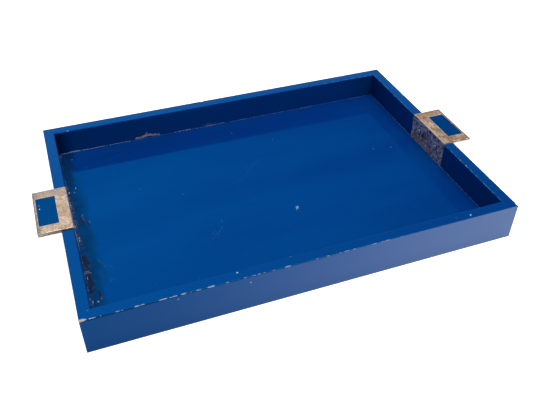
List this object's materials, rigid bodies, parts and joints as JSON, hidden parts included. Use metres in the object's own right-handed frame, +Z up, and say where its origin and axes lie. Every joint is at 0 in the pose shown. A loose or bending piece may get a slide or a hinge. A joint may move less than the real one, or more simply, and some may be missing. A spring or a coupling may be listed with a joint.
{
  "type": "serving tray",
  "caption": "Rectangular lacquered wooden serving tray with mitred rails, a let-in floor panel and a plated angle handle with an inlay on each short end.",
  "frame": {"origin": "on the ground under the middle of the tray, at the underside of the rails", "axes": "+X along the tray's length towards the right handle, +Y to the rear rail, +Z up"},
  "size_m": [0.5506, 0.35, 0.0493],
  "materials": {
    "blue_lacquer": "glossy blue lacquer on wood, chipped along the edges",
    "floor_lacquer": "high-gloss blue lacquer with fine scratches, dust and a stained patch",
    "raw_plywood": "bare plywood, hidden in the mitres",
    "worn_plating": "worn, tarnished nickel plating with pitting",
    "inlay_lacquer": "glossy blue lacquer or enamel",
    "zinc_screw": "bluish zinc-plated steel"
  },
  "bodies": {
    "root": {"front_rail": "blue_lacquer", "rear_rail": "blue_lacquer", "left_rail": "blue_lacquer", "right_rail": "blue_lacquer", "floor_panel": "floor_lacquer", "corner_spline_front_left": "raw_plywood", "corner_spline_front_right": "raw_plywood", "corner_spline_rear_left": "raw_plywood", "corner_spline_rear_right": "raw_plywood", "left_handle_bracket": "worn_plating", "right_handle_bracket": "worn_plating", "left_handle_inlay": "inlay_lacquer", "right_handle_inlay": "inlay_lacquer", "left_handle_screw_front": "zinc_screw", "left_handle_screw_rear": "zinc_screw", "right_handle_screw_front": "zinc_screw", "right_handle_screw_rear": "zinc_screw"}
  },
  "joints": []
}
